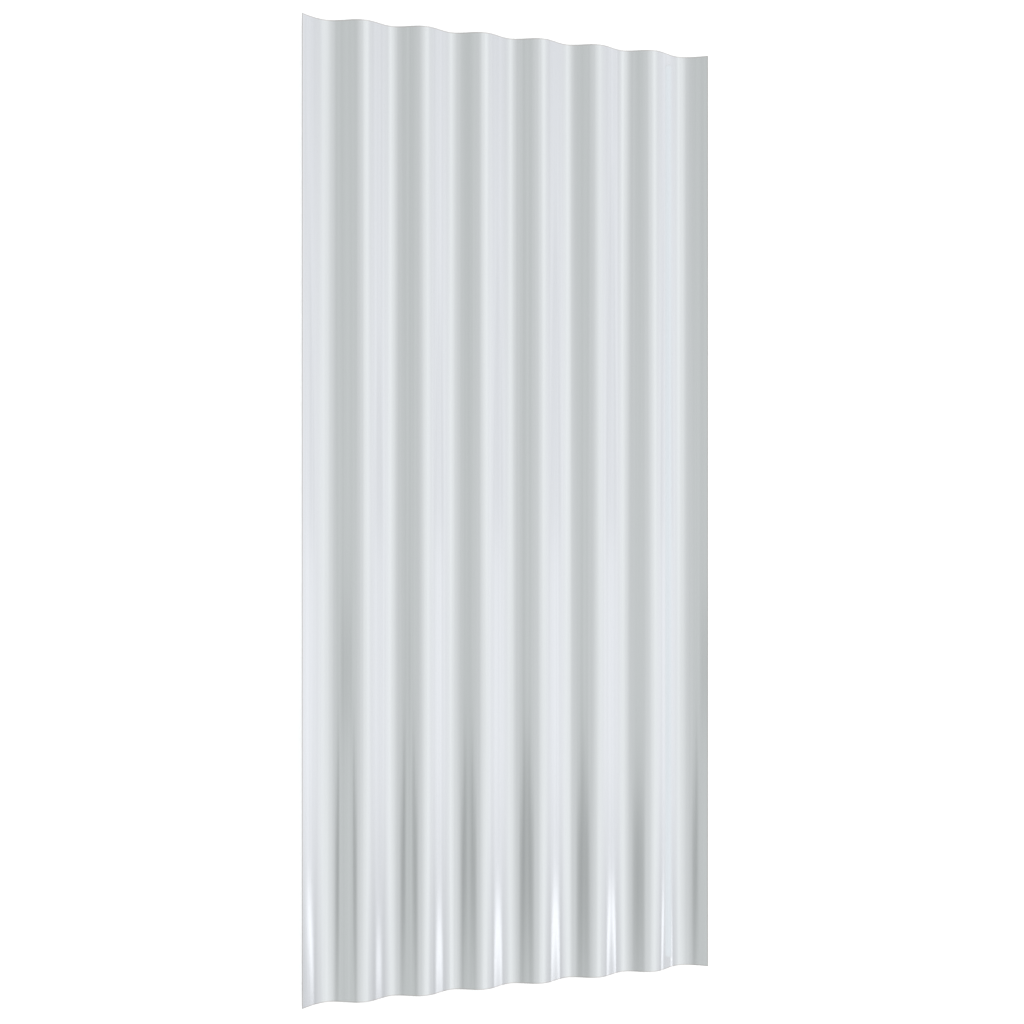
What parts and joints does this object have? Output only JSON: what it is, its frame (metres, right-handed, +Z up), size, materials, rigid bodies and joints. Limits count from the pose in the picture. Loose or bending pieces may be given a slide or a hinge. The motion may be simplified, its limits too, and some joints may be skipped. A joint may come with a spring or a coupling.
{
  "type": "corrugated metal sheet",
  "caption": "Light corrugated steel sheet with round, shallow waves, plain cut ends and slightly deeper side troughs, lying flat with its weather side up.",
  "frame": {"origin": "centre of the sheet's footprint, on the level that the two side troughs rest on", "axes": "+Y along the waves, +X across them, +Z up out of the weather side"},
  "size_m": [0.4502, 1, 0.014],
  "materials": {
    "galvanised_steel": "smooth semi-bright zinc coating with no visible spangle, rolled, clean and unused"
  },
  "bodies": {
    "root": {"corrugated_sheet": "galvanised_steel"}
  },
  "joints": []
}
